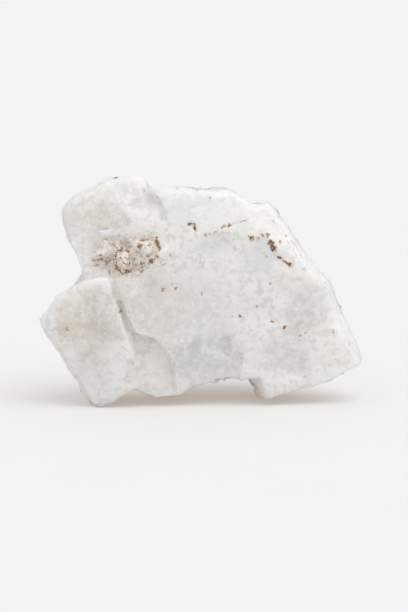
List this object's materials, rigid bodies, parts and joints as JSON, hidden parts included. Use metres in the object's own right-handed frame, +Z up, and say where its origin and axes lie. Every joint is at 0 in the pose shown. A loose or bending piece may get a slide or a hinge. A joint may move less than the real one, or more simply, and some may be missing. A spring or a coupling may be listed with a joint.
{
  "type": "rough calcite",
  "caption": "Lump of broken, milky calcite with flat cleavage faces, stepped ledges and crumbled patches, which stands upright on small flat spots as a mineral specimen.",
  "frame": {"origin": "on the plane that the stone stands on, below the centre of its bounding box", "axes": "+X along the widest extent, from the left block to the right corner; +Y from the great front face to the back, the shortest extent; +Z up"},
  "size_m": [0.0786, 0.0328, 0.0552],
  "materials": {
    "calcite": "satin"
  },
  "bodies": {
    "root": {"calcite": "calcite"}
  },
  "joints": []
}
